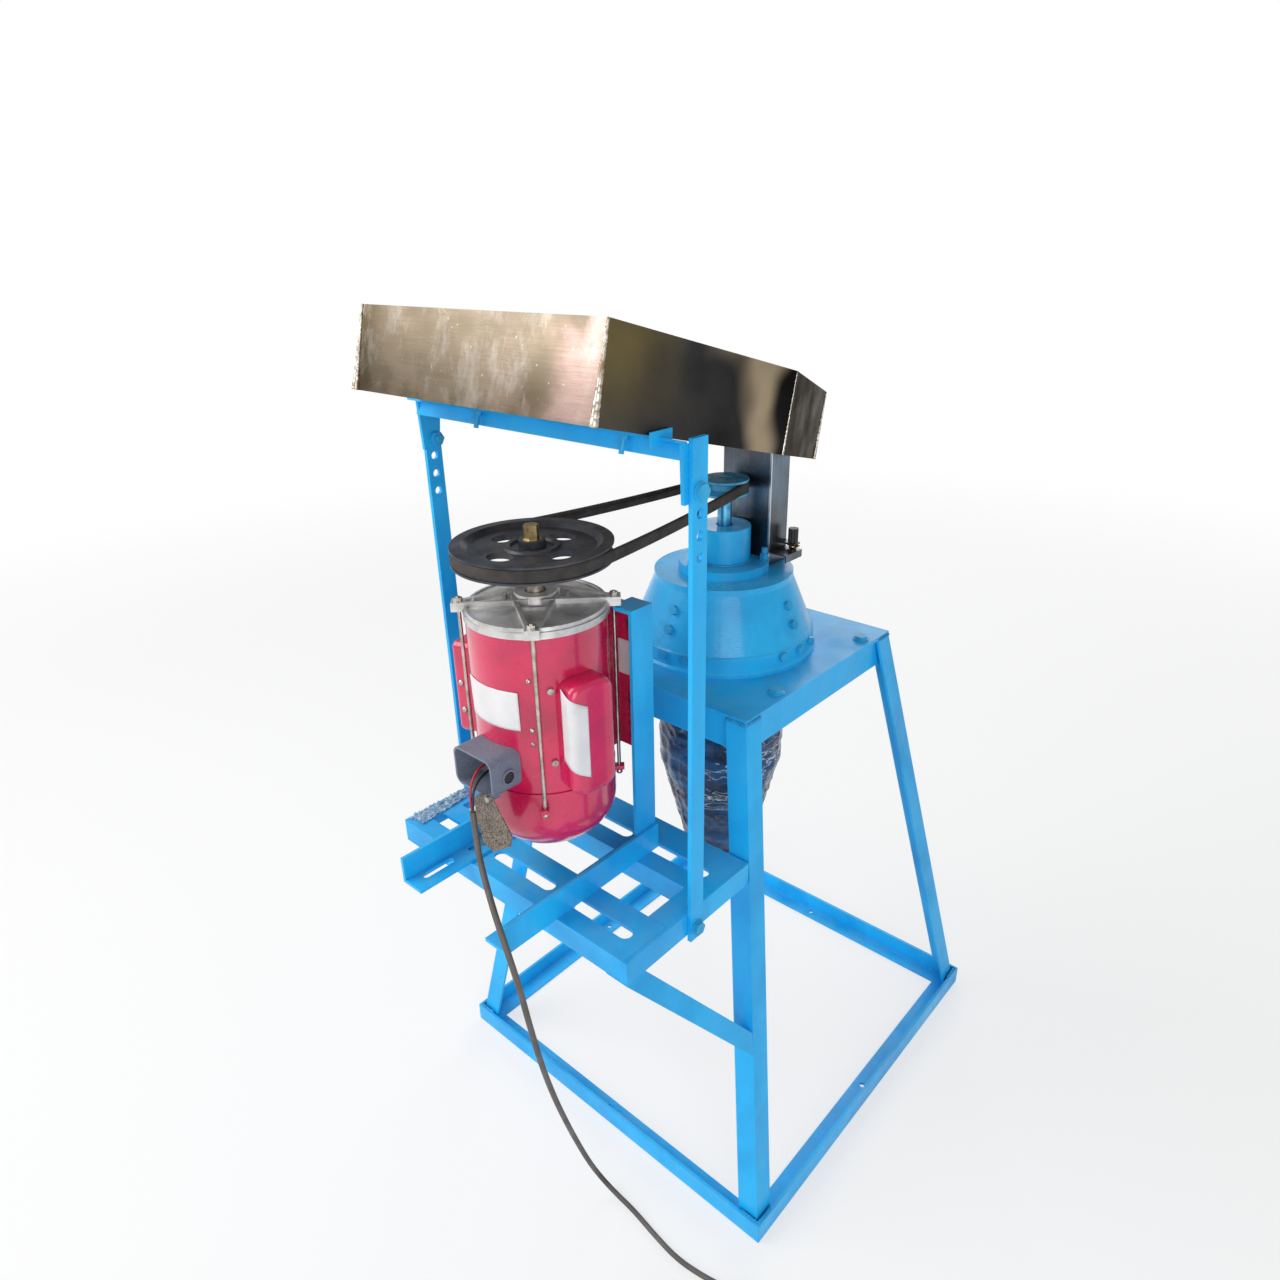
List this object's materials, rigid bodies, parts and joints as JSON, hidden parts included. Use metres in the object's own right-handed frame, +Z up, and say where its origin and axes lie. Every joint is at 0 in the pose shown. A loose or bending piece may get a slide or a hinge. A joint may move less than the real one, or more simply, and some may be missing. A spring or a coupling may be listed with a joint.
{
  "type": "pulverizer",
  "caption": "Vertical-shaft cone pulverizer on an angle-iron stand, belt driven by an upright electric motor on a slotted platform, with a tilted stainless feed tray.",
  "frame": {"origin": "floor level at the centre of the base ring", "axes": "+Z up, +Y from the motor towards the mill, +X towards the gate side; the machine is nearly symmetric about X = 0"},
  "size_m": [0.791, 0.9742, 1.3498],
  "materials": {
    "blue_enamel": "gloss",
    "mill_enamel": "gloss",
    "zinc_steel": "zinc plated",
    "stainless_sheet": "bright, smudged",
    "plain_steel": "machined",
    "yellow_steel": "yellow plated",
    "cast_iron": "turned and oiled",
    "red_enamel": "gloss",
    "cast_aluminium": "as cast",
    "taupe_enamel": "speckled",
    "belt_rubber": "matt",
    "black_plastic": "satin",
    "film": "wrinkled film",
    "wire_red": "satin",
    "cable_grey": "matt"
  },
  "bodies": {
    "stand": {"base_rails": "blue_enamel", "bearing_flange": "mill_enamel", "bearing_housing": "mill_enamel", "braces": "blue_enamel", "clamp_bolts": "zinc_steel", "cone_housing": "mill_enamel", "cover_disc": "mill_enamel", "cross_angle": "blue_enamel", "discharge_funnel": "plain_steel", "drive_belt": "belt_rubber", "feed_chute": "stainless_sheet", "film_wrap": "film", "flange_studs": "zinc_steel", "frame_bolts": "zinc_steel", "grinding_liner": "plain_steel", "hopper_tray": "stainless_sheet", "leg_front_left": "blue_enamel", "leg_front_right": "blue_enamel", "leg_rear_left": "blue_enamel", "leg_rear_right": "blue_enamel", "liner_bolts": "zinc_steel", "mill_bearings": "plain_steel", "plate_bolts": "zinc_steel", "platform_front_channel": "blue_enamel", "platform_rear_channel": "blue_enamel", "platform_side_angles": "blue_enamel", "sieve_ring": "plain_steel", "top_frame_angles": "blue_enamel", "top_plate": "blue_enamel", "uprights": "blue_enamel"},
    "motor_carriage": {"skids": "blue_enamel", "posts": "blue_enamel", "motor_shell": "red_enamel", "foot_bolts": "zinc_steel", "end_bell": "cast_aluminium", "fan_cover": "red_enamel", "tie_rods": "zinc_steel", "run_capacitor_cover": "red_enamel", "start_capacitor_cover": "red_enamel", "case_screws": "zinc_steel", "terminal_box": "red_enamel", "nameplate": "cast_aluminium", "stator_core": "plain_steel", "lower_shield": "cast_aluminium", "motor_bearings": "plain_steel", "lead_wires": "wire_red", "power_cord": "cable_grey", "cord_coil": "cable_grey", "mains_plug": "black_plastic"},
    "motor_spindle": {"motor_shaft": "plain_steel", "shaft_end": "yellow_steel", "motor_rotor": "plain_steel", "cooling_fan": "black_plastic", "motor_pulley": "cast_iron"},
    "mill_spindle": {"mill_shaft": "plain_steel", "mill_pulley": "cast_iron", "mill_rotor": "plain_steel"},
    "gate": {"gate_plate": "stainless_sheet"},
    "knob": {"gate_knob": "black_plastic"},
    "terminal_lid": {"terminal_cover": "taupe_enamel"}
  },
  "joints": [
    {"name": "carriage_slide", "type": "slide", "parent": "stand", "child": "motor_carriage", "axis": [0, 1, 0], "range_m": [-0.015, 0.015], "deforming": ["drive_belt"]},
    {"name": "motor_spin", "type": "hinge", "parent": "motor_carriage", "child": "motor_spindle", "pos_m": [0, -0.418, 0.9], "axis": [0, 0, 1], "continuous": true},
    {"name": "mill_spin", "type": "hinge", "parent": "stand", "child": "mill_spindle", "pos_m": [0, -0.024, 0.9], "axis": [0, 0, 1], "continuous": true},
    {"name": "gate_slide", "type": "slide", "parent": "stand", "child": "gate", "axis": [1, 0, 0], "range_m": [0, 0.06]},
    {"name": "knob_turn", "type": "hinge", "parent": "stand", "child": "knob", "pos_m": [0.072, 0.062, 0.966], "axis": [0, 0, 1], "range_deg": [0, 720]},
    {"name": "lid_swing", "type": "hinge", "parent": "motor_carriage", "child": "terminal_lid", "pos_m": [0.036, -0.5475, 0.784], "axis": [0, 1, 0], "range_deg": [-35, 35]}
  ],
  "couplings": [
    {"joint": "mill_spin", "follows": "motor_spin", "ratio": 3}
  ]
}
